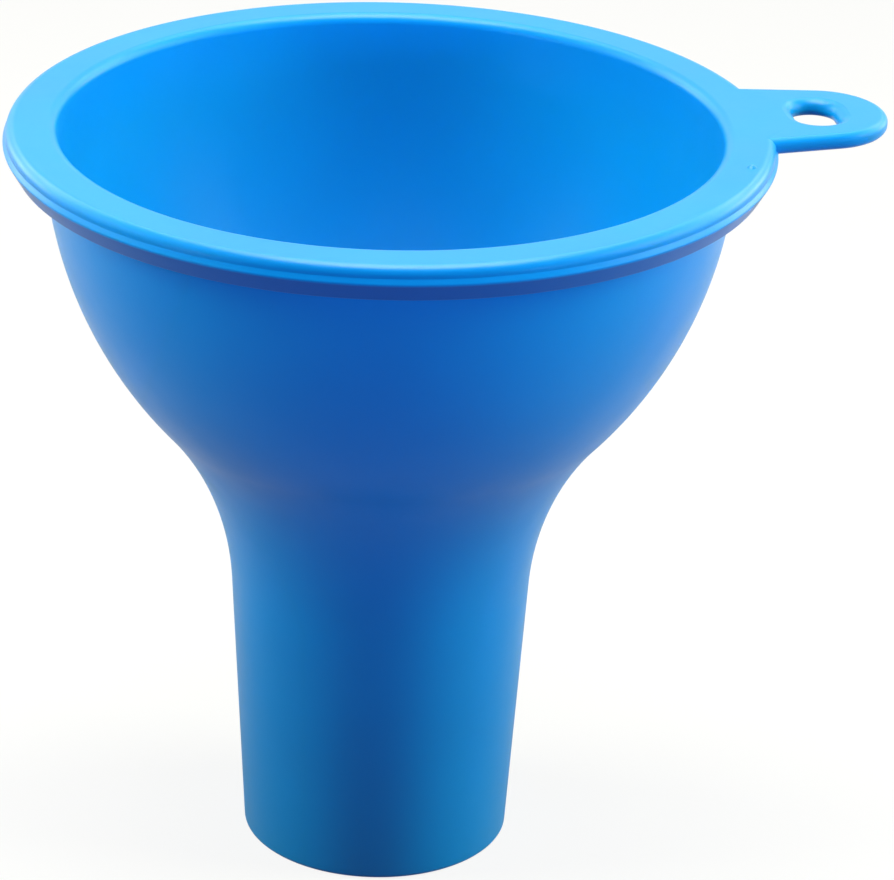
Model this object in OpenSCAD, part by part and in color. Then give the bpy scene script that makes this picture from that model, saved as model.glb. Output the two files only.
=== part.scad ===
// Canning funnel: a deep round bowl with a flat rim and a hang tab, drawn in through a curved neck
// to a tapered spout. The spout drops into a jar and the neck comes to rest in the jar's mouth.
// Millimetres, +Z up. The origin is the middle of the spout's open end and the tab lies along +X.
// The real funnel is one moulding. It is divided here where its form changes, on faces square to
// the wall, and the pieces meet face to face with no gap.

/* [Funnel] */
// Height from the spout's open end to the top of the rim
height = 137; // [125:1:160]
// Thickness of the wall
wall = 2.5; // [1.5:0.1:3.5]

/* [Rim] */
// Outer diameter of the flat rim
rim_d = 135; // [125:1:150]
// Thickness of the rim, from its underside to its top
rim_t = 6.3; // [5.5:0.1:7.5]
// Height of the upright part of the rim's outer edge
edge_t = 3.3; // [2.8:0.1:4]
// How far the lower part of the edge leans in towards the underside, in degrees
edge_lean = 30; // [15:1:40]
// Radius of the rounding along the top of the rim's outer edge
edge_top_r = 1.6; // [0.6:0.1:1.8]
// Radius of the rounding where the upright part of the edge turns in to the leaning part
edge_low_r = 0.5; // [0.3:0.1:0.8]
// How far the rim stands out past the outside of the bowl
rim_overhang = 7; // [5:0.1:9]
// Radius of the rounded lip at the mouth
lip_r = 1.8; // [1:0.1:2.4]

/* [Bowl] */
// Radius of the arc that the outside of the bowl follows from the rim down
bowl_arc_r = 78.4; // [74:0.2:84]

/* [Neck] */
// Radius of the hollow curve that draws the bowl in to the spout
neck_arc_r = 56; // [30:1:70]

/* [Spout] */
// Outer diameter at the open end
spout_end_d = 48.3; // [44:0.1:54]
// How far each side of the spout leans out towards the neck, in degrees
spout_taper = 3.3; // [1:0.1:5]

/* [Hang tab] */
// How far the tab reaches past the edge of the rim
tab_reach = 21; // [18:0.1:30]
// Thickness of the tab, whose top is flush with the rim
tab_t = 3; // [2:0.1:3.6]
// Radius of the tab's round end
tab_end_r = 12; // [10:0.1:14]
// How far each side of the tab leans in towards the end, in degrees
tab_taper = 8; // [0:1:12]
// Width of the oblong hang hole, along the tab
hole_w = 7.6; // [5:0.1:9]
// Length of the hang hole, across the tab
hole_l = 11.4; // [10:0.1:15]
// Distance from the edge of the rim to the middle of the hang hole
hole_offset = 8.2; // [6.5:0.1:10]

/* [Hidden] */
$fn = 144;
silicone_blue = [0.03, 0.36, 0.75];

// Rim, with the roundings of its outer edge and the lip at the mouth
rim_r = rim_d / 2;
rim_low_z = height - rim_t;
edge_top = [rim_r - edge_top_r, height - edge_top_r];
edge_low = [rim_r - edge_low_r, height - edge_t + edge_low_r];
mouth_r = rim_r - rim_overhang - wall;
lip_x = mouth_r + lip_r;

// Centre of the bowl's arcs, level with the start of the lip, where the wall stands upright
bowl_c = [mouth_r + wall - bowl_arc_r, height - lip_r];
bowl_in_r = bowl_arc_r - wall;

// Leaning part of the rim's edge, from the lower rounding in to the rim's underside
lean_top = edge_low + edge_low_r * [cos(edge_lean), -sin(edge_lean)];
lean_end = [lean_top[0] - (lean_top[1] - rim_low_z) * tan(edge_lean), rim_low_z];

// Directions square to the spout's wall and up along it
spout_out = [cos(spout_taper), -sin(spout_taper)];
spout_up = [sin(spout_taper), cos(spout_taper)];
spout_end_r = spout_end_d / 2;
spout_end_in_r = spout_end_r - wall / cos(spout_taper);

// Centre of the neck's arcs, which run smoothly into the bowl above and the spout below
arcs_apart = bowl_arc_r + neck_arc_r;
side_step = spout_end_r * cos(spout_taper) + neck_arc_r - bowl_c * spout_out;
neck_c = bowl_c + side_step * spout_out - sqrt(arcs_apart * arcs_apart - side_step * side_step) * spout_up;
neck_in_r = neck_arc_r + wall;
bowl_down = (neck_c - bowl_c) / arcs_apart;

// Ends of the wall where the neck meets the spout, outside and inside
spout_top = neck_c - neck_arc_r * spout_out;
spout_top_in = neck_c - neck_in_r * spout_out;

// The tab is let into the rim as far as its seat, a little inside the rounded edge
tab_inset = 3.5;
tab_seat_r = rim_r - tab_inset;
tab_z = height - tab_t;
tab_end_x = rim_r + tab_reach - tab_end_r;
tab_side_x = tab_end_x + tab_end_r * sin(tab_taper);
tab_side_y = tab_end_r * cos(tab_taper);
tab_start_x = tab_seat_r - tab_end_r;
tab_start_y = tab_side_y + (tab_side_x - tab_start_x) * tan(tab_taper);
hole_x = rim_r + hole_offset;
hole_shift = (hole_l - hole_w) / 2;

// The tab's pocket is cut past the rim's top, and wedges run past the arcs that they divide
cut_past = 1;
wedge_past = 1.3;

// Disc whose edge is the inner face of the bowl's wall
module bowl_inside() {
    translate(bowl_c)
        circle(r = bowl_in_r);
}

// Half section of the rim: a flat top, an outer edge that is upright and then leans in, and the lip
module rim_section() {
    difference() {
        polygon([
            [mouth_r - wall, rim_low_z],
            lean_end,
            lean_top,
            [rim_r, edge_low[1]],
            [rim_r, edge_top[1]],
            [edge_top[0], height],
            [lip_x, height],
            [lip_x, height - lip_r],
            [mouth_r - wall, height - lip_r]
        ]);
        bowl_inside();
    }
    translate(edge_top)
        circle(r = edge_top_r);
    translate(edge_low)
        circle(r = edge_low_r);
    translate([lip_x, height - lip_r])
        circle(r = lip_r);
}

// Half section of the bowl: the wall between two arcs, from the foot of the rim to the neck
module bowl_section() {
    intersection() {
        difference() {
            translate(bowl_c)
                circle(r = bowl_arc_r);
            bowl_inside();
        }
        polygon([
            bowl_c,
            bowl_c + bowl_down * bowl_arc_r * wedge_past,
            bowl_c + [bowl_arc_r * wedge_past, 0]
        ]);
        square([rim_r, rim_low_z]);
    }
}

// Half section of the neck: the wall between two arcs, from the bowl to the spout
module neck_section() {
    intersection() {
        translate(neck_c)
            difference() {
                circle(r = neck_in_r);
                circle(r = neck_arc_r);
            }
        polygon([
            neck_c,
            neck_c - bowl_down * neck_in_r * wedge_past,
            neck_c - spout_out * neck_in_r * wedge_past
        ]);
    }
}

// Plan of the tab without its hole: leaning sides and a round end, outside the seat in the rim
module tab_plan() {
    difference() {
        union() {
            polygon([
                [tab_start_x, -tab_start_y],
                [tab_side_x, -tab_side_y],
                [tab_side_x, tab_side_y],
                [tab_start_x, tab_start_y]
            ]);
            translate([tab_end_x, 0])
                circle(r = tab_end_r);
        }
        circle(r = tab_seat_r);
    }
}

// Plan of the hang hole: straight sides across the tab and two round ends
module hole_plan() {
    translate([hole_x - hole_w / 2, -hole_shift])
        square([hole_w, 2 * hole_shift]);
    for (side = [-1, 1])
        translate([hole_x, side * hole_shift])
            circle(d = hole_w);
}

module rim_flange() {
    color(silicone_blue)
        difference() {
            rotate_extrude()
                rim_section();
            translate([0, 0, tab_z])
                linear_extrude(tab_t + cut_past)
                    tab_plan();
        }
}

module hang_tab() {
    color(silicone_blue)
        translate([0, 0, tab_z])
            linear_extrude(tab_t)
                difference() {
                    tab_plan();
                    hole_plan();
                }
}

module bowl() {
    color(silicone_blue)
        rotate_extrude()
            bowl_section();
}

module neck() {
    color(silicone_blue)
        rotate_extrude()
            neck_section();
}

module spout() {
    color(silicone_blue)
        rotate_extrude()
            polygon([
                [spout_end_in_r, 0],
                [spout_end_r, 0],
                spout_top,
                spout_top_in
            ]);
}

rim_flange();
hang_tab();
bowl();
neck();
spout();
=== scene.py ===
# %% [markdown]
# # A canning funnel in blue silicone
# The real funnel is one soft moulding: a flat rim with a hang tab, a deep bowl, a neck that draws it in
# and a tapered spout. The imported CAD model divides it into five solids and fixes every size. This lesson
# dresses each solid in a finer piece, with rounded edges, a mould ledge and a satin silicone finish.
# A round shape could come from a screw modifier on a hand-placed profile, but here each half section is
# drawn with a pen made of two operators and then spun, so that every arc is the one in the drawing.

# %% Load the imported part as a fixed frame
import math

import bmesh
import bpy
from mathutils import Matrix, Vector


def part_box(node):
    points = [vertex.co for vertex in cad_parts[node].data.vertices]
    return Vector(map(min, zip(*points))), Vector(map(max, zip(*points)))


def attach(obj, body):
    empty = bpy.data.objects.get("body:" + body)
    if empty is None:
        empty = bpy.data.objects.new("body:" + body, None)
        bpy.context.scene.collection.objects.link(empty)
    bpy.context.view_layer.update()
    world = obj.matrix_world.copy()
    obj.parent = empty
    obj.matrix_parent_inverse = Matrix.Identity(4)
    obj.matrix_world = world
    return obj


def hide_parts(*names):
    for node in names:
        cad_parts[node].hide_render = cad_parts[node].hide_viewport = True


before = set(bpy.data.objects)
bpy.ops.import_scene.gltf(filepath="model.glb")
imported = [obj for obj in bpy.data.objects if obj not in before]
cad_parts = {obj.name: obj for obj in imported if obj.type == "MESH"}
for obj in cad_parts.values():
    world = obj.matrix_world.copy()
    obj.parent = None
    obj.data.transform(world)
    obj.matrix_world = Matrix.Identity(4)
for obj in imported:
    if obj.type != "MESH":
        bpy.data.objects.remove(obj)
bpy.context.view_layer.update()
scene = bpy.context.scene
scene.view_settings.view_transform = "Standard"
for name in sorted(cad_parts):
    low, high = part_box(name)
    print(name, "from", [round(1000 * v, 1) for v in low], "to", [round(1000 * v, 1) for v in high], "mm")

# %% [markdown]
# ## The camera
# The photograph looks down by about 24 degrees, from the front and a little to the left of the tab,
# through a long lens that hardly narrows the far side. A Track To constraint could aim a camera, but the
# picture is also turned by about 2 degrees. So the three directions of the view are worked out from
# those angles and written into the camera's matrix: right, up and backwards.

# %% Put the camera where the photograph was taken
MM = 0.001
VIEW_TURN = math.radians(9.63)
VIEW_DOWN = math.radians(24.19)
VIEW_ROLL = math.radians(1.77)
VIEW_PLACE = Vector((-112.06, -728.26, 407.88)) * MM
LENS_MM, SENSOR_MM = 181.2, 36.0

level_right = Vector((math.cos(VIEW_TURN), -math.sin(VIEW_TURN), 0))
ahead = Vector((math.sin(VIEW_TURN), math.cos(VIEW_TURN), 0))
level_up = ahead * math.sin(VIEW_DOWN) + Vector((0, 0, math.cos(VIEW_DOWN)))
right = level_right * math.cos(VIEW_ROLL) + level_up * math.sin(VIEW_ROLL)
up = level_up * math.cos(VIEW_ROLL) - level_right * math.sin(VIEW_ROLL)
bpy.ops.object.camera_add()
camera = bpy.context.object
camera.name = "photo_camera"
view_axes = Matrix((right, up, right.cross(up))).transposed().to_4x4()
camera.matrix_world = Matrix.Translation(VIEW_PLACE) @ view_axes
camera.data.sensor_fit = "HORIZONTAL"
camera.data.sensor_width = SENSOR_MM
camera.data.lens = LENS_MM
scene.camera = camera
print("camera", round(VIEW_PLACE.length, 3), "m from the spout's end, lens", LENS_MM, "mm")

# %% [markdown]
# ## The studio
# The funnel stands on a pale floor in soft light, as in a tent of white cloth: one panel overhead, one on
# each side and a low one on the right. The front gets only two weak, narrow panels, which leave the darker
# middle of the bowl and spout. The tent's sides were too wide to leave a sharp mirror image, so the side
# and front panels light the skin but don't show in its reflections. The background is white because the
# floor and the world answer camera and mirror rays with plain white, and not because more light falls on
# the funnel. The floor still carries a share of ordinary diffuse shading, so it keeps the shadow.

# %% Hang the light panels
BOWL_MIDDLE, RIM_FRONT = (0, 0, 0.11), (0, 0, 0.15)
TOP_SIZE, SIDE_SIZE, FRONT_SIZE = (0.36, 0.36), (0.5, 0.5), (0.3, 0.12)
FRONT_SPREAD = 24
KEY_TINT = (1.0, 1.0, 0.96)
SIDE_TINT = (1.0, 1.0, 0.76)
FILL_TINT = (0.4, 0.5, 1.0)


def hang_panel(title, place, size, watts, tint, seen, spread=180, aim=BOWL_MIDDLE):
    """An area light aimed at the funnel, seen by its skin as light, as a mirror image or as both."""
    bpy.ops.object.select_all(action="DESELECT")
    bpy.ops.object.light_add(type="AREA", location=place)
    panel = bpy.context.object
    panel.name = title
    panel.rotation_euler = (Vector(aim) - Vector(place)).to_track_quat("-Z", "Y").to_euler()
    panel.visible_diffuse = seen != "mirror"
    panel.visible_glossy = seen != "light"
    panel.data.shape = "RECTANGLE"
    panel.data.size, panel.data.size_y = size
    panel.data.energy = watts
    panel.data.color = tint
    panel.data.spread = math.radians(spread)
    print(title, watts, "W at", place)


hang_panel("panel_top", (0.0, 0.0, 0.60), TOP_SIZE, 3.3, KEY_TINT, "both")
hang_panel("panel_left", (-0.804, 0.137, 0.490), SIDE_SIZE, 8.4, SIDE_TINT, "light")
hang_panel("panel_right", (0.804, -0.137, 0.490), SIDE_SIZE, 8.4, SIDE_TINT, "light")
hang_panel("panel_right_low", (0.879, -0.149, 0.235), SIDE_SIZE, 1.6, SIDE_TINT, "light")
for title, place, watts in (("panel_front_right", (0.56, -0.70, 0.18), 0.098),
                            ("panel_front_left", (-0.76, -0.48, 0.18), 0.065)):
    hang_panel(title, place, FRONT_SIZE, watts, FILL_TINT, "light", FRONT_SPREAD, RIM_FRONT)

# %% [markdown]
# A bright line runs along the rim's rounded edge and the tab: the cloth behind the funnel, mirrored in the
# satin skin. A stronger lamp there would also brighten the flat of the rim. So five panels in an arch
# show in reflections only. The two at its feet light the corner where the rim turns away to the sides.

# %% Hang an arch of cloth behind, for the bright line along the rim's edge
ARCH_TOP_SIZE, ARCH_SIZE, ARCH_FOOT_SIZE = (0.45, 0.22), (0.34, 0.14), (0.3, 0.2)
hang_panel("arch_back", (0.05, 0.31, 0.58), ARCH_TOP_SIZE, 0.8, KEY_TINT, "mirror")
hang_panel("arch_left", (-0.274, 0.361, 0.40), ARCH_SIZE, 0.6, KEY_TINT, "mirror")
hang_panel("arch_right", (0.377, 0.251, 0.40), ARCH_SIZE, 0.6, KEY_TINT, "mirror")
hang_panel("arch_foot_left", (-0.441, 0.406, 0.22), ARCH_FOOT_SIZE, 0.8, KEY_TINT, "mirror")
hang_panel("arch_foot_right", (0.551, 0.238, 0.22), ARCH_FOOT_SIZE, 0.8, KEY_TINT, "mirror")

# %% [markdown]
# The camera sees white in every direction. A reflection sees white behind and beside the funnel, and a
# dimmer room in front, where the photographer stands: that keeps the middle of the bowl a deep blue.
# Both masks could be copied into each material, but two short functions build them wherever they are used.

# %% Make the masks for the white background
FRONT_DIM = 0.03
WHITE = (1, 1, 1, 1)


def seen_rays(tree):
    """Two masks: 1 for camera rays, and 1 for all rays that show the background."""
    path = tree.nodes.new("ShaderNodeLightPath")
    camera_rays = shown = path.outputs["Is Camera Ray"]
    for kind in ("Is Glossy Ray", "Is Transmission Ray"):
        either = tree.nodes.new("ShaderNodeMath")
        either.operation = "MAXIMUM"
        tree.links.new(shown, either.inputs[0])
        tree.links.new(path.outputs[kind], either.inputs[1])
        shown = either.outputs[0]
    return camera_rays, shown


def white_level(tree, vector, camera_rays, start, end, brightness):
    """The background's brightness: even for the camera, and rising from start to end for reflections."""
    depth = tree.nodes.new("ShaderNodeVectorMath")
    depth.operation = "DOT_PRODUCT"
    depth.inputs[1].default_value = ahead
    tree.links.new(vector, depth.inputs[0])
    fall = tree.nodes.new("ShaderNodeMapRange")
    fall.interpolation_type = "SMOOTHSTEP"
    fall.inputs["From Min"].default_value = start
    fall.inputs["From Max"].default_value = end
    fall.inputs["To Min"].default_value = FRONT_DIM * brightness
    fall.inputs["To Max"].default_value = brightness
    tree.links.new(depth.outputs["Value"], fall.inputs["Value"])
    even = tree.nodes.new("ShaderNodeMath")
    even.operation = "MULTIPLY"
    even.inputs[1].default_value = brightness
    tree.links.new(camera_rays, even.inputs[0])
    level = tree.nodes.new("ShaderNodeMath")
    level.operation = "MAXIMUM"
    tree.links.new(even.outputs[0], level.inputs[0])
    tree.links.new(fall.outputs["Result"], level.inputs[1])
    return level.outputs[0]


print("reflections see", FRONT_DIM, "of the white in front")

# %% Give the world a dim fill, white to the camera and to reflections
WORLD_FILL, WORLD_FILL_BLUE = 0.02, (0.35, 0.6, 1.0, 1)
WORLD_FADE = (-0.9, 0.9)
world = bpy.data.worlds.new("studio_air")
scene.world = world
world.use_nodes = True
air = world.node_tree
air.nodes.clear()
camera_rays, shown = seen_rays(air)
direction = air.nodes.new("ShaderNodeTexCoord").outputs["Generated"]
fill = air.nodes.new("ShaderNodeBackground")
fill.inputs["Color"].default_value = WORLD_FILL_BLUE
fill.inputs["Strength"].default_value = WORLD_FILL
white = air.nodes.new("ShaderNodeBackground")
white.inputs["Color"].default_value = WHITE
air.links.new(white_level(air, direction, camera_rays, *WORLD_FADE, 1.0), white.inputs["Strength"])
choose = air.nodes.new("ShaderNodeMixShader")
air.links.new(shown, choose.inputs[0])
air.links.new(fill.outputs[0], choose.inputs[1])
air.links.new(white.outputs[0], choose.inputs[2])
out = air.nodes.new("ShaderNodeOutputWorld")
air.links.new(choose.outputs[0], out.inputs["Surface"])
print("world fill", WORLD_FILL)

# %% Lay the pale floor
FLOOR_SIZE = 6.0
FLOOR_GLOW, FLOOR_FADE = 0.86, (-0.20, 0.35)
FLOOR_SHADE = 0.12
FLOOR_BOUNCE = (0.105, 0.152, 0.26, 1)
bpy.ops.object.select_all(action="DESELECT")
bpy.ops.mesh.primitive_plane_add(size=FLOOR_SIZE, location=(0, 0, 0))
floor = bpy.context.object
floor.name = "floor"
paper = bpy.data.materials.new("pale_floor")
paper.use_nodes = True
floor.data.materials.append(paper)
print("floor", [round(v, 2) for v in floor.dimensions], "m")

# %% Make the floor white, with a share of diffuse shading for the shadow
tree = paper.node_tree
tree.nodes.clear()
camera_rays, shown = seen_rays(tree)
place = tree.nodes.new("ShaderNodeTexCoord").outputs["Object"]
bounce = tree.nodes.new("ShaderNodeBsdfDiffuse")
bounce.inputs["Color"].default_value = FLOOR_BOUNCE
shade = tree.nodes.new("ShaderNodeBsdfDiffuse")
shade.inputs["Color"].default_value = (FLOOR_SHADE, FLOOR_SHADE, FLOOR_SHADE, 1)
glow = tree.nodes.new("ShaderNodeEmission")
glow.inputs["Color"].default_value = WHITE
tree.links.new(white_level(tree, place, camera_rays, *FLOOR_FADE, FLOOR_GLOW), glow.inputs["Strength"])
pale = tree.nodes.new("ShaderNodeAddShader")
tree.links.new(shade.outputs[0], pale.inputs[0])
tree.links.new(glow.outputs[0], pale.inputs[1])
choose = tree.nodes.new("ShaderNodeMixShader")
tree.links.new(shown, choose.inputs[0])
tree.links.new(bounce.outputs[0], choose.inputs[1])
tree.links.new(pale.outputs[0], choose.inputs[2])
out = tree.nodes.new("ShaderNodeOutputMaterial")
tree.links.new(choose.outputs[0], out.inputs["Surface"])
print("floor", len(tree.nodes), "nodes")

# %% [markdown]
# ## Silicone
# Food-grade silicone is coloured right through. It has a satin skin: broad, soft highlights, a fine grain
# from the blasted mould, and a colour that clouds very slightly where the pigment was mixed unevenly.
# A single flat colour would look like paint on glass. Three noise textures on Object coordinates give the
# clouds, a change in gloss and the grain, because the object itself carries them into any view. The
# clouded colour is joined to the skin further down, once the rim is drawn.

# %% Mix the silicone
SILICONE_BLUE = (0.0012, 0.264, 0.70, 1.0)
CLOUD_BLUE = (0.0010, 0.240, 0.65, 1.0)
SILICONE_IOR = 1.41
CLOUD_SIZE, GLOSS_SIZE, GRAIN_SIZE = 38, 9, 0.5
ROUGHNESS = (0.30, 0.36)
GRAIN_STRENGTH, GRAIN_DEPTH = 0.5, 0.02
NOISE_MIDDLE = (0.3, 0.7)
silicone = bpy.data.materials.new("blue_silicone")
silicone.use_nodes = True
mix_tree = silicone.node_tree
skin = mix_tree.nodes["Principled BSDF"]
skin.inputs["IOR"].default_value = SILICONE_IOR
coords = mix_tree.nodes.new("ShaderNodeTexCoord")


def noise_of_size(millimetres, detail):
    """A noise texture on Object coordinates whose patches are about this wide."""
    noise = mix_tree.nodes.new("ShaderNodeTexNoise")
    noise.inputs["Scale"].default_value = 1 / (millimetres * MM)
    noise.inputs["Detail"].default_value = detail
    mix_tree.links.new(coords.outputs["Object"], noise.inputs["Vector"])
    return noise.outputs["Fac"]


def spread(value, low, high):
    """The middle of a noise stretched to run from low to high."""
    stretch = mix_tree.nodes.new("ShaderNodeMapRange")
    stretch.inputs["From Min"].default_value, stretch.inputs["From Max"].default_value = NOISE_MIDDLE
    stretch.inputs["To Min"].default_value = low
    stretch.inputs["To Max"].default_value = high
    mix_tree.links.new(value, stretch.inputs["Value"])
    return stretch.outputs["Result"]


cloud = mix_tree.nodes.new("ShaderNodeMix")
cloud.data_type = "RGBA"
cloud.inputs["A"].default_value = CLOUD_BLUE
cloud.inputs["B"].default_value = SILICONE_BLUE
mix_tree.links.new(spread(noise_of_size(CLOUD_SIZE, detail=2), 0.0, 1.0), cloud.inputs["Factor"])
mix_tree.links.new(spread(noise_of_size(GLOSS_SIZE, detail=3), *ROUGHNESS), skin.inputs["Roughness"])
grain = mix_tree.nodes.new("ShaderNodeBump")
grain.inputs["Strength"].default_value = GRAIN_STRENGTH
grain.inputs["Distance"].default_value = GRAIN_DEPTH * MM
mix_tree.links.new(noise_of_size(GRAIN_SIZE, detail=3), grain.inputs["Height"])
mix_tree.links.new(grain.outputs["Normal"], skin.inputs["Normal"])
print("silicone", len(mix_tree.nodes), "nodes")

# %% [markdown]
# ## A pen for half sections
# Each round piece starts as half of its cross section, drawn in the XZ plane with the radius along X.
# A small plane is added at the start and merged to one point. From there an extrude draws a straight
# line, a spin about a point draws an arc, and the last point stays selected, as a pen stays on paper.

# %% Make the pen
def pen_down(title, x, z):
    """A new mesh with one point at radius x and height z, in millimetres, left in edit mode."""
    bpy.ops.object.select_all(action="DESELECT")
    bpy.ops.mesh.primitive_plane_add(size=MM, location=(x * MM, 0, z * MM))
    piece = bpy.context.object
    piece.name = piece.data.name = title
    bpy.ops.object.transform_apply(location=True, rotation=True, scale=True)
    bpy.ops.object.mode_set(mode="EDIT")
    bpy.ops.mesh.select_mode(type="VERT")
    bpy.ops.mesh.select_all(action="SELECT")
    bpy.ops.mesh.merge(type="CENTER")
    return piece


def pen_place():
    """Where the pen is: the one selected point of the mesh in edit mode."""
    points = bmesh.from_edit_mesh(bpy.context.object.data).verts
    return next(v.co.copy() for v in points if v.select)


def line_to(x, z, shares=(1.0,)):
    """A straight line to radius x and height z, with a point at each of these shares of the way."""
    start, end = pen_place(), Vector((x * MM, 0, z * MM))
    for share in shares:
        step = start.lerp(end, share) - pen_place()
        bpy.ops.mesh.extrude_region_move(TRANSFORM_OT_translate={"value": step})


def arc_about(x, z, degrees, steps):
    """An arc about a centre at radius x and height z. A positive angle turns from +X towards +Z."""
    bpy.ops.mesh.spin(steps=steps, angle=math.radians(degrees),
                      center=(x * MM, 0, z * MM), axis=(0, 1, 0))


def held_arc(x, z, degrees, steps, hold=0.1):
    """An arc with a very short first and last step, so that the shading runs on into the next piece."""
    sign = math.copysign(1, degrees)
    arc_about(x, z, sign * hold, steps=1)
    arc_about(x, z, degrees - sign * 2 * hold, steps)
    arc_about(x, z, sign * hold, steps=1)


# %% Make the lathe that spins a section
TURN_STEPS = 192
SHARP = math.radians(35)
WELD = 0.002 * MM


def open_edges(piece):
    """How many edges of a mesh don't have exactly two faces. A closed piece has none."""
    mesh = bmesh.new()
    mesh.from_mesh(piece.data)
    count = sum(not e.is_manifold for e in mesh.edges)
    mesh.free()
    return count


def spin_round():
    """Close the section, spin it once round the funnel's axis and leave a clean closed mesh."""
    piece = bpy.context.object
    bpy.ops.mesh.select_all(action="SELECT")
    bpy.ops.mesh.remove_doubles(threshold=WELD)
    bpy.ops.mesh.select_all(action="SELECT")
    bpy.ops.mesh.spin(steps=TURN_STEPS, angle=2 * math.pi, center=(0, 0, 0), axis=(0, 0, 1),
                      use_auto_merge=True)
    bpy.ops.mesh.select_all(action="SELECT")
    bpy.ops.mesh.remove_doubles(threshold=WELD)
    bpy.ops.mesh.select_all(action="SELECT")
    bpy.ops.mesh.normals_make_consistent(inside=False)
    bpy.ops.object.mode_set(mode="OBJECT")
    bpy.ops.object.shade_smooth_by_angle(angle=SHARP)
    print(piece.name, len(piece.data.polygons), "faces,", open_edges(piece), "open edges")


# %% [markdown]
# ## The drawing
# The heights and the rim's radius come from the frame. The rest are the few sizes that drive the drawing:
# a wall of even thickness, an arc for the bowl, a hollow arc for the neck and a straight, tapered spout.
# The neck's centre could be found by trial, but two arcs and a line that run smoothly into each other
# leave only one place for it, so it is worked out.

# %% Work out the drawing, in millimetres
rim_low, rim_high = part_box("rim_flange")
HEIGHT, RIM_LOW, RIM_R = rim_high[2] / MM, rim_low[2] / MM, rim_high[1] / MM
MOUTH_R, LIP_R, WALL = 58.0, 1.8, 2.5
BOWL_ARC, NECK_ARC = 78.4, 56.0
SPOUT_END, SPOUT_TAPER = 24.15, math.radians(3.3)

LIP = Vector((MOUTH_R + LIP_R, HEIGHT - LIP_R))
BOWL = Vector((MOUTH_R + WALL - BOWL_ARC, LIP.y))
square_out = Vector((math.cos(SPOUT_TAPER), -math.sin(SPOUT_TAPER)))
along_up = Vector((math.sin(SPOUT_TAPER), math.cos(SPOUT_TAPER)))
side_step = SPOUT_END * math.cos(SPOUT_TAPER) + NECK_ARC - BOWL.dot(square_out)
down_step = math.sqrt((BOWL_ARC + NECK_ARC) ** 2 - side_step ** 2)
NECK = BOWL + side_step * square_out - down_step * along_up
print("neck arc about radius", round(NECK.x, 2), "height", round(NECK.y, 2), "mm")

# %% Work out where the pieces meet
towards_neck = (NECK - BOWL).normalized()
JOIN_OUT, JOIN_IN = BOWL + BOWL_ARC * towards_neck, BOWL + (BOWL_ARC - WALL) * towards_neck
SPOUT_TOP_OUT, SPOUT_TOP_IN = NECK - NECK_ARC * square_out, NECK - (NECK_ARC + WALL) * square_out
SPOUT_END_IN = SPOUT_END - WALL / math.cos(SPOUT_TAPER)
bowl_in = BOWL_ARC - WALL
BOWL_TOP_IN = Vector((BOWL.x + math.sqrt(bowl_in ** 2 - (RIM_LOW - BOWL.y) ** 2), RIM_LOW))


def angle_from(centre, point):
    """The direction from a centre to a point of the section, in degrees from +X towards +Z."""
    return math.degrees(math.atan2(point[1] - centre[1], point[0] - centre[0]))


print("spout meets the neck at height", round(SPOUT_TOP_OUT.y, 2), "mm")
print("neck meets the bowl at height", round(JOIN_OUT.y, 2), "mm")

# %% [markdown]
# ## The rim
# On the real funnel the rim is a thick flat ring with a rounded lip at the mouth. Its outer edge is in two
# tiers: the mould's two halves meet there, so a small ledge runs round under a broad rounded corner, and
# below it the edge leans in to the underside. A bevelled cylinder would give the corner but not the ledge.
# The pen draws both, with one more arc for the ledge, one for the foot of the edge and a small hollow
# fillet where the underside meets the bowl.

# %% Work out the rim's edge
FLAT_END, CORNER_R, CORNER_DROP = 65.2, 1.8, 0.2
LEDGE_TOP = Vector((FLAT_END + CORNER_R, HEIGHT - CORNER_R - CORNER_DROP))
LEDGE_OUT, LEDGE_DROP = 67.0, 2.95
LEDGE, LEDGE_R, LEDGE_TILT = Vector((LEDGE_OUT, HEIGHT - LEDGE_DROP)), 0.45, 28
LEAN, EDGE_FOOT_R, FILLET_R = 30, 0.4, 0.6


def on_arc(centre, radius, degrees):
    """A point of an arc, by its direction from +X towards +Z."""
    return centre + radius * Vector((math.cos(math.radians(degrees)), math.sin(math.radians(degrees))))


lean_start = on_arc(LEDGE, LEDGE_R - EDGE_FOOT_R, -LEAN)
lean_drop = lean_start.y - RIM_LOW - EDGE_FOOT_R
EDGE_FOOT = lean_start - Vector((lean_drop * math.tan(math.radians(LEAN)), lean_drop))
FOOT = Vector((BOWL.x + math.sqrt(BOWL_ARC ** 2 - (RIM_LOW - BOWL.y) ** 2), RIM_LOW))
print("ledge stands out to", LEDGE_OUT + LEDGE_R, "of", round(RIM_R, 2), "mm")
print("edge ends at", round(EDGE_FOOT.x, 2), "mm")

# %% Draw and spin the rim, with points near the ends of its lines to keep their shading flat
FLAT_POINTS, SLOPE_POINTS = (0.01, 0.5, 0.99, 1.0), (0.02, 0.5, 0.98, 1.0)
rim = pen_down("moulded_rim", *BOWL_TOP_IN)
held_arc(*BOWL, -angle_from(BOWL, BOWL_TOP_IN), steps=3)
arc_about(*LIP, -90, steps=10)
line_to(FLAT_END, HEIGHT, FLAT_POINTS)
arc_about(FLAT_END, HEIGHT - CORNER_R, -90, steps=12)
line_to(*LEDGE_TOP, (0.5, 1.0))
line_to(*on_arc(LEDGE, LEDGE_R, LEDGE_TILT), (0.1, 0.9, 1.0))
arc_about(*LEDGE, -LEDGE_TILT - LEAN, steps=8)
line_to(*on_arc(EDGE_FOOT, EDGE_FOOT_R, -LEAN), SLOPE_POINTS)
arc_about(*EDGE_FOOT, LEAN - 90, steps=6)
line_to(FOOT.x + FILLET_R, RIM_LOW + FILLET_R, SLOPE_POINTS)
arc_about(FOOT.x + FILLET_R, RIM_LOW, 90, steps=6)
line_to(*BOWL_TOP_IN)
spin_round()

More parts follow.
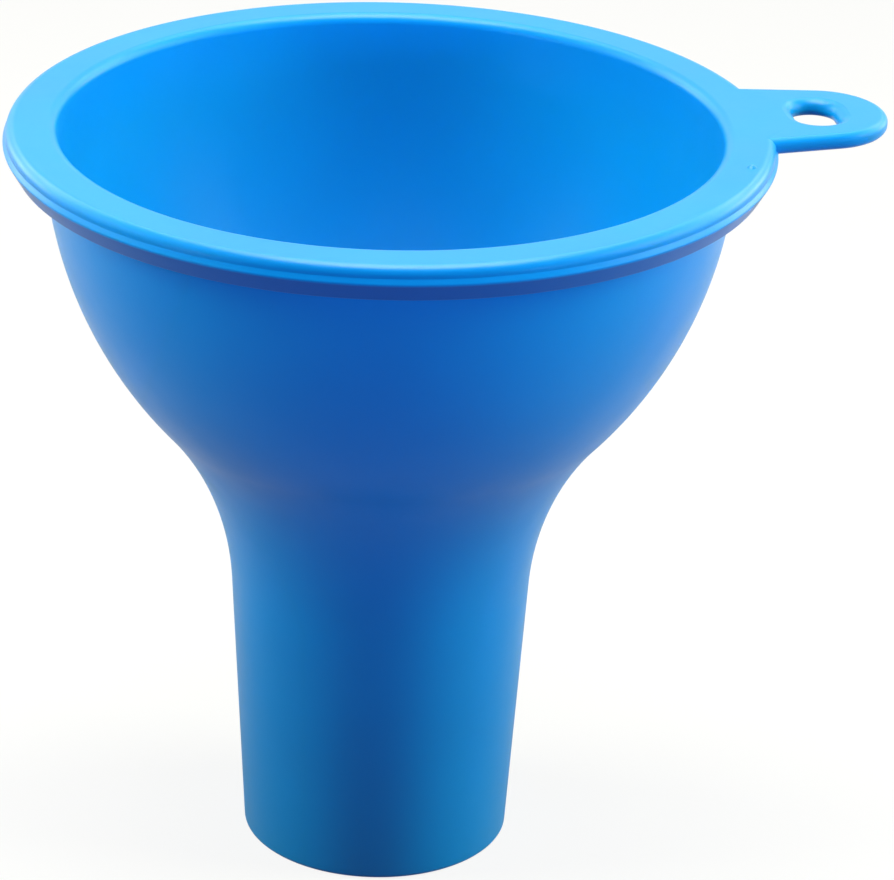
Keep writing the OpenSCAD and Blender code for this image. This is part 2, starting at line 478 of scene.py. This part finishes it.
# %% [markdown]
# Silicone lets a little light through. The bowl's thin wall takes on some of the light inside it, and the
# thick edge under the ledge doesn't, so it looks deeper in colour. Subsurface scattering would be the
# usual way, but it stops where two pieces meet and draws a dark ring there. So that missing light is painted
# shade: a deeper blue is mixed in by place, below the ledge and outside the bowl.

# %% Paint shade into the colour of the thick edge
# Painted shade: a deeper blue for the edge, which the light through the thin wall doesn't reach
PAINTED_SHADE_BLUE = (0.0006, 0.132, 0.46, 1.0)
SHADE_TOP = LEDGE.y - 0.1


def ramp_up(value, start, end):
    """0 up to start, in millimetres, and 1 from end on."""
    ramp = mix_tree.nodes.new("ShaderNodeMapRange")
    ramp.inputs["From Min"].default_value = start * MM
    ramp.inputs["From Max"].default_value = end * MM
    mix_tree.links.new(value, ramp.inputs["Value"])
    return ramp.outputs["Result"]


across = mix_tree.nodes.new("ShaderNodeVectorMath")
across.operation = "MULTIPLY"
across.inputs[1].default_value = (1, 1, 0)
mix_tree.links.new(coords.outputs["Object"], across.inputs[0])
radius = mix_tree.nodes.new("ShaderNodeVectorMath")
radius.operation = "LENGTH"
mix_tree.links.new(across.outputs["Vector"], radius.inputs[0])
height = mix_tree.nodes.new("ShaderNodeSeparateXYZ")
mix_tree.links.new(coords.outputs["Object"], height.inputs["Vector"])
shade_mask = mix_tree.nodes.new("ShaderNodeMath")
shade_mask.operation = "MULTIPLY"
outside = ramp_up(radius.outputs["Value"], FOOT.x + FILLET_R, FOOT.x + 2 * FILLET_R)
below = ramp_up(height.outputs["Z"], SHADE_TOP, LEDGE.y - LEDGE_R)
mix_tree.links.new(outside, shade_mask.inputs[0])
mix_tree.links.new(below, shade_mask.inputs[1])
# The painted shade is mixed into the clouded colour below the ledge and outside the bowl
painted_shade = mix_tree.nodes.new("ShaderNodeMix")
painted_shade.data_type = "RGBA"
painted_shade.inputs["B"].default_value = PAINTED_SHADE_BLUE
mix_tree.links.new(shade_mask.outputs[0], painted_shade.inputs["Factor"])
mix_tree.links.new(cloud.outputs["Result"], painted_shade.inputs["A"])
mix_tree.links.new(painted_shade.outputs["Result"], skin.inputs["Base Color"])
print("silicone", len(mix_tree.nodes), "nodes, deeper below", round(SHADE_TOP, 2), "mm")

# %% [markdown]
# ## The bowl
# The bowl is the deep part that takes a ladleful: one arc outside, and the same arc a wall's thickness
# further in. A half sphere cut short would be close, but its centre would sit on the axis, and the real
# bowl is a little slimmer than that.

# %% Draw and spin the bowl
bowl = pen_down("moulded_bowl", *BOWL_TOP_IN)
line_to(*FOOT)
held_arc(*BOWL, angle_from(BOWL, JOIN_OUT) - angle_from(BOWL, FOOT), steps=40)
line_to(*JOIN_IN)
held_arc(*BOWL, angle_from(BOWL, BOWL_TOP_IN) - angle_from(BOWL, JOIN_IN), steps=40)
spin_round()

# %% [markdown]
# ## The neck
# The neck is where the funnel comes to rest in a jar's mouth. Its curve bends the other way from the
# bowl's, so the two arcs are drawn about a centre outside the funnel. Its ends are cut square to the
# wall, as the solids' are, and meet the bowl and the spout face to face.

# %% Draw and spin the neck
neck = pen_down("moulded_neck", *JOIN_OUT)
neck_turn = angle_from(NECK, SPOUT_TOP_OUT) - angle_from(NECK, JOIN_OUT)
held_arc(*NECK, neck_turn, steps=30)
line_to(*SPOUT_TOP_IN)
held_arc(*NECK, -neck_turn, steps=30)
line_to(*JOIN_OUT)
spin_round()

# %% [markdown]
# ## The spout
# The spout is a straight tube that tapers so that it drops into a jar and leaves the mould. Its open end
# is cut square, and the cut's two edges are slightly blunt, as moulded edges are. The pen could draw the
# rounding too, but a bevel on the two rings of edges is what one would do by hand.

# %% Draw and spin the spout, with points near its top so that the shading runs on into the neck
DOWN_POINTS, UP_POINTS = (0.005, 0.25, 0.5, 0.75, 1.0), (0.25, 0.5, 0.75, 0.995, 1.0)
spout = pen_down("moulded_spout", *SPOUT_TOP_OUT)
line_to(SPOUT_END, 0, DOWN_POINTS)
line_to(SPOUT_END_IN, 0)
line_to(*SPOUT_TOP_IN, UP_POINTS)
line_to(*SPOUT_TOP_OUT)
spin_round()

# %% Round the edges of the open end
END_ROUND, ROUND_STEPS = 0.8, 5
NEAR = 0.01


def pick_edges(piece, wanted):
    """Edit mode, edges only, with just the edges selected whose two ends pass the test."""
    bpy.ops.object.mode_set(mode="EDIT")
    bpy.ops.mesh.select_mode(type="EDGE")
    bpy.ops.mesh.select_all(action="DESELECT")
    mesh = bmesh.from_edit_mesh(piece.data)
    found = [e for e in mesh.edges if wanted(e.verts[0].co / MM, e.verts[1].co / MM)]
    for e in found:
        e.select_set(True)
    bmesh.update_edit_mesh(piece.data)
    return len(found)


def round_picked(piece, radius):
    """Bevel the picked edges, go back to object mode and smooth what is nearly flat."""
    bpy.ops.mesh.bevel(offset=radius * MM, segments=ROUND_STEPS, affect="EDGES")
    bpy.ops.object.mode_set(mode="OBJECT")
    bpy.ops.object.shade_smooth_by_angle(angle=SHARP)
    print(piece.name, len(piece.data.polygons), "faces,", open_edges(piece), "open edges")


def is_end_ring(a, b):
    return max(a.z, b.z) < NEAR and abs(a.xy.length - b.xy.length) < NEAR


print("rounding", pick_edges(spout, is_end_ring), "edges")
round_picked(spout, END_ROUND)

# %% [markdown]
# ## The hang tab
# The tab is a flat tongue that is flush with the rim's top, with an oblong hole that is longer across it,
# for a hook. The same pen can draw its plan, laid flat: two leaning sides, a round end, and back along
# the circle where the rim's flat top ends, so that no two faces lie in the same place.

# %% Work out the tab's plan
TAB_T = 3.0
TAB_END_R, TAB_TAPER = 12.0, math.radians(8)
TAB_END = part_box("hang_tab")[1][0] / MM - TAB_END_R
side_x = TAB_END + TAB_END_R * math.sin(TAB_TAPER)
side_y = TAB_END_R * math.cos(TAB_TAPER)
slope = math.tan(TAB_TAPER)
reach = side_y + side_x * slope
lean_square = 1 + slope ** 2
root_x = (slope * reach + math.sqrt(FLAT_END ** 2 * lean_square - reach ** 2)) / lean_square
root_y = reach - slope * root_x
print("tab root", round(2 * root_y, 1), "mm wide at", round(root_x, 1), "mm")
print("tab end about", round(TAB_END, 1), "mm")

# %% Draw the tab's plan with the pen laid flat
SIDE_STEPS, END_STEPS, ROOT_STEPS = 8, 28, 12


def flat_line_to(x, y, parts):
    """A straight line in the plane of the rim's top, in equal parts."""
    step = (Vector((x, y, HEIGHT)) * MM - pen_place()) / parts
    for _ in range(parts):
        bpy.ops.mesh.extrude_region_move(TRANSFORM_OT_translate={"value": step})


def flat_arc_about(x, degrees, steps):
    """An arc in the plane of the rim's top, about a point on the X axis, from +X towards +Y."""
    bpy.ops.mesh.spin(steps=steps, angle=math.radians(degrees),
                      center=(x * MM, 0, HEIGHT * MM), axis=(0, 0, -1))


tab = pen_down("moulded_tab", root_x, HEIGHT)
bpy.ops.transform.translate(value=(0, -root_y * MM, 0))
flat_line_to(side_x, -side_y, SIDE_STEPS)
flat_arc_about(TAB_END, 180 - 2 * math.degrees(TAB_TAPER), END_STEPS)
flat_line_to(root_x, root_y, SIDE_STEPS)
flat_arc_about(0, -2 * math.degrees(math.atan2(root_y, root_x)), ROOT_STEPS)
bpy.ops.mesh.select_all(action="SELECT")
bpy.ops.mesh.remove_doubles(threshold=WELD)
print("tab outline", len(bmesh.from_edit_mesh(tab.data).edges), "edges")

# %% [markdown]
# A circle becomes the oblong hole: its two halves are pulled apart across the tab. A bridge fills between
# the outline and the hole, and the plate is pulled down to its thickness. The hole's upper lip is rounder
# than its lower one, and weighted normals keep the flat top free of shading from the narrow bevels.

# %% Open the hole and pull the plate down
HOLE_X, HOLE_W, HOLE_L = 75.7, 7.6, 11.4
HOLE_R, HOLE_SHIFT = HOLE_W / 2, (HOLE_L - HOLE_W) / 2
HOLE_STEPS = 56
bpy.ops.mesh.primitive_circle_add(vertices=HOLE_STEPS, radius=HOLE_R * MM,
                                  location=(HOLE_X * MM, 0, HEIGHT * MM),
                                  rotation=(0, 0, math.pi / HOLE_STEPS))
for side in (1, -1):
    bpy.ops.mesh.select_all(action="DESELECT")
    outline = bmesh.from_edit_mesh(tab.data)
    for v in outline.verts:
        in_hole = (v.co.xy / MM - Vector((HOLE_X, 0))).length < HOLE_R + HOLE_SHIFT
        v.select_set(in_hole and side * v.co.y > 0)
    bmesh.update_edit_mesh(tab.data)
    bpy.ops.transform.translate(value=(0, side * HOLE_SHIFT * MM, 0))
bpy.ops.mesh.select_all(action="SELECT")
bpy.ops.mesh.bridge_edge_loops()
plate_area = sum(f.calc_area() for f in bmesh.from_edit_mesh(tab.data).faces)
print("plate area", round(plate_area / MM ** 2, 1), "square mm")
bpy.ops.mesh.select_all(action="SELECT")
bpy.ops.mesh.extrude_region_move(TRANSFORM_OT_translate={"value": (0, 0, -TAB_T * MM)})
bpy.ops.mesh.select_all(action="SELECT")
bpy.ops.mesh.normals_make_consistent(inside=False)
bpy.ops.object.mode_set(mode="OBJECT")

# %% Round the tab's edges and the lips of the hole
TAB_ROUND, HOLE_TOP_ROUND, HOLE_LOW_ROUND = 1.3, 1.9, 0.9
NEAR_LINE, NEAR_HOLE = 0.02, 0.03


def on_hole(p):
    return abs(Vector((p.x - HOLE_X, max(abs(p.y) - HOLE_SHIFT, 0))).length - HOLE_R) < NEAR_HOLE


def on_outline(p):
    on_side = abs(abs(p.y) + p.x * slope - reach) < NEAR_LINE
    on_end = abs((p.xy - Vector((TAB_END, 0))).length - TAB_END_R) < NEAR_LINE
    return on_side or on_end


def is_outer_edge(a, b):
    level = abs(a.z - b.z) < NEAR
    at_root = max(abs(p.xy.length - FLAT_END) for p in (a, b)) < NEAR_LINE
    return level and on_outline(a) and on_outline(b) and not at_root


def is_hole_top(a, b):
    return min(a.z, b.z) > HEIGHT - NEAR and on_hole(a) and on_hole(b)


def is_hole_low(a, b):
    return max(a.z, b.z) < HEIGHT - TAB_T + NEAR and on_hole(a) and on_hole(b)


for wanted, size in ((is_outer_edge, TAB_ROUND),
                     (is_hole_top, HOLE_TOP_ROUND),
                     (is_hole_low, HOLE_LOW_ROUND)):
    print("rounding", pick_edges(tab, wanted), "edges")
    round_picked(tab, size)
bpy.ops.object.modifier_add(type="WEIGHTED_NORMAL")
tab.modifiers[-1].keep_sharp = True
bpy.ops.object.modifier_apply(modifier=tab.modifiers[-1].name)

# %% [markdown]
# ## The mould's pip
# Near the tab a small pip stands on the rim's top, where the mould was vented. A sphere pressed flat would
# do, but a disc that is extruded and narrowed three times gives its low dome with few faces.

# %% Raise the pip
PIP_TURN, PIP_OUT = math.radians(-24.4), 64.0
PIP_R, PIP_SUNK, PIP_STEPS = 0.95, 0.05, 24
PIP_SHARP = math.radians(60)
PIP_TIERS = ((0.30, 0.63), (0.15, 0.60), (0.07, 0.45))
pip_x, pip_y = PIP_OUT * math.cos(PIP_TURN), PIP_OUT * math.sin(PIP_TURN)
pip_place = (pip_x * MM, pip_y * MM, (HEIGHT - PIP_SUNK) * MM)
bpy.ops.object.select_all(action="DESELECT")
bpy.ops.mesh.primitive_circle_add(vertices=PIP_STEPS, radius=PIP_R * MM, fill_type="NGON", location=pip_place)
pip = bpy.context.object
pip.name = pip.data.name = "moulded_pip"
bpy.ops.object.transform_apply(location=True, rotation=True, scale=True)
bpy.ops.object.mode_set(mode="EDIT")
bpy.ops.mesh.select_mode(type="FACE")
bpy.ops.mesh.select_all(action="SELECT")
for climb, share in PIP_TIERS:
    bpy.ops.mesh.extrude_region_move(TRANSFORM_OT_translate={"value": (0, 0, climb * MM)})
    bpy.ops.transform.resize(value=(share, share, 1), center_override=pip_place)
bpy.ops.mesh.select_all(action="SELECT")
bpy.ops.mesh.normals_make_consistent(inside=False)
bpy.ops.object.mode_set(mode="OBJECT")
bpy.ops.object.shade_smooth_by_angle(angle=PIP_SHARP)
print("pip", [round(1000 * v, 2) for v in pip.dimensions], "mm,", open_edges(pip), "open edges")

# %% [markdown]
# ## One moulding
# Every piece takes the same silicone and rides on the one rigid body. Each stands for its CAD solid, which
# is hidden here and stays behind for collision. The pip stands for no solid and only rides along.

# %% Give every piece its silicone and its place in the frame
stands_for = {rim: "rim_flange", tab: "hang_tab", bowl: "bowl", neck: "neck", spout: "spout", pip: None}
for piece, node in stands_for.items():
    piece.data.materials.clear()
    piece.data.materials.append(silicone)
    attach(piece, "root")
    if node:
        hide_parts(node)
print(len(stands_for), "pieces,", sum(len(p.data.polygons) for p in stands_for), "faces")
